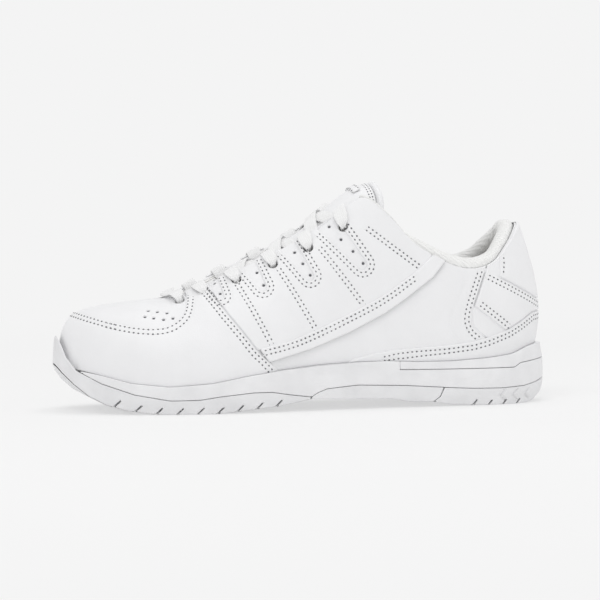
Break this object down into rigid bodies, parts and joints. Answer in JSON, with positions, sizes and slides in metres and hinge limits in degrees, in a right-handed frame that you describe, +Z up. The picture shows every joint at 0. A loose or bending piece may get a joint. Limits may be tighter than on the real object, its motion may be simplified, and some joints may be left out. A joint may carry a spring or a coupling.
{
  "type": "cheer shoe",
  "caption": "Low-cut white leather lace-up cheer trainer for one foot, with perforated toe, padded collar, arched tongue and a split tread sole.",
  "frame": {"origin": "middle of the shoe's length and width, at ground level", "axes": "-X toe, +X heel, -Y outer (lateral) side, +Y inner side, +Z up"},
  "size_m": [0.2679, 0.0942, 0.1196],
  "materials": {
    "white_leather": "smooth, semi-matt",
    "white_rubber": "matt",
    "white_foam": "satin moulded foam",
    "white_mesh": "ribbed mesh",
    "fibre_board": "matt",
    "white_plastic": "smooth",
    "lace_webbing": "flat woven"
  },
  "bodies": {
    "shoe": {"vamp": "white_leather", "mudguard": "white_leather", "quarter_lateral": "white_leather", "quarter_medial": "white_leather", "eyestay_lateral": "white_leather", "eyestay_medial": "white_leather", "saddle_band_lateral": "white_leather", "saddle_band_medial": "white_leather", "heel_panel": "white_leather", "heel_foxing": "white_leather", "heel_strap": "white_leather", "heel_tab": "white_leather", "outsole_forefoot": "white_rubber", "outsole_midfoot": "white_rubber", "outsole_heel": "white_rubber", "midsole": "white_foam", "midsole_heel_rim": "white_foam", "collar_foam": "white_foam", "vamp_lining": "white_mesh", "quarter_lining": "white_mesh", "collar_roll": "white_mesh", "eyelet_tape_lateral": "white_mesh", "eyelet_tape_medial": "white_mesh", "strobel_board": "fibre_board", "toe_puff": "fibre_board", "heel_counter": "fibre_board", "shank_plate": "white_plastic", "aglet_lateral": "white_plastic", "aglet_medial": "white_plastic", "lace": "lace_webbing"},
    "tongue": {"tongue_shell": "white_leather", "tongue_foam": "white_foam", "tongue_lining": "white_mesh", "tongue_binding": "white_mesh", "lace_keeper": "white_leather"},
    "footbed": {"sockliner_foam": "white_foam", "sockliner_cloth": "white_mesh"}
  },
  "joints": [
    {"name": "tongue_fold", "type": "hinge", "parent": "shoe", "child": "tongue", "pos_m": [-0.078, 0, 0.05], "axis": [0, 1, 0], "range_deg": [0, 6], "stiffness_Nm_per_rad": 0.3, "springref_deg": -6.88},
    {"name": "footbed_lift", "type": "hinge", "parent": "shoe", "child": "footbed", "pos_m": [-0.123, 0, 0.024], "axis": [0, -1, 0], "range_deg": [0, 3]}
  ]
}
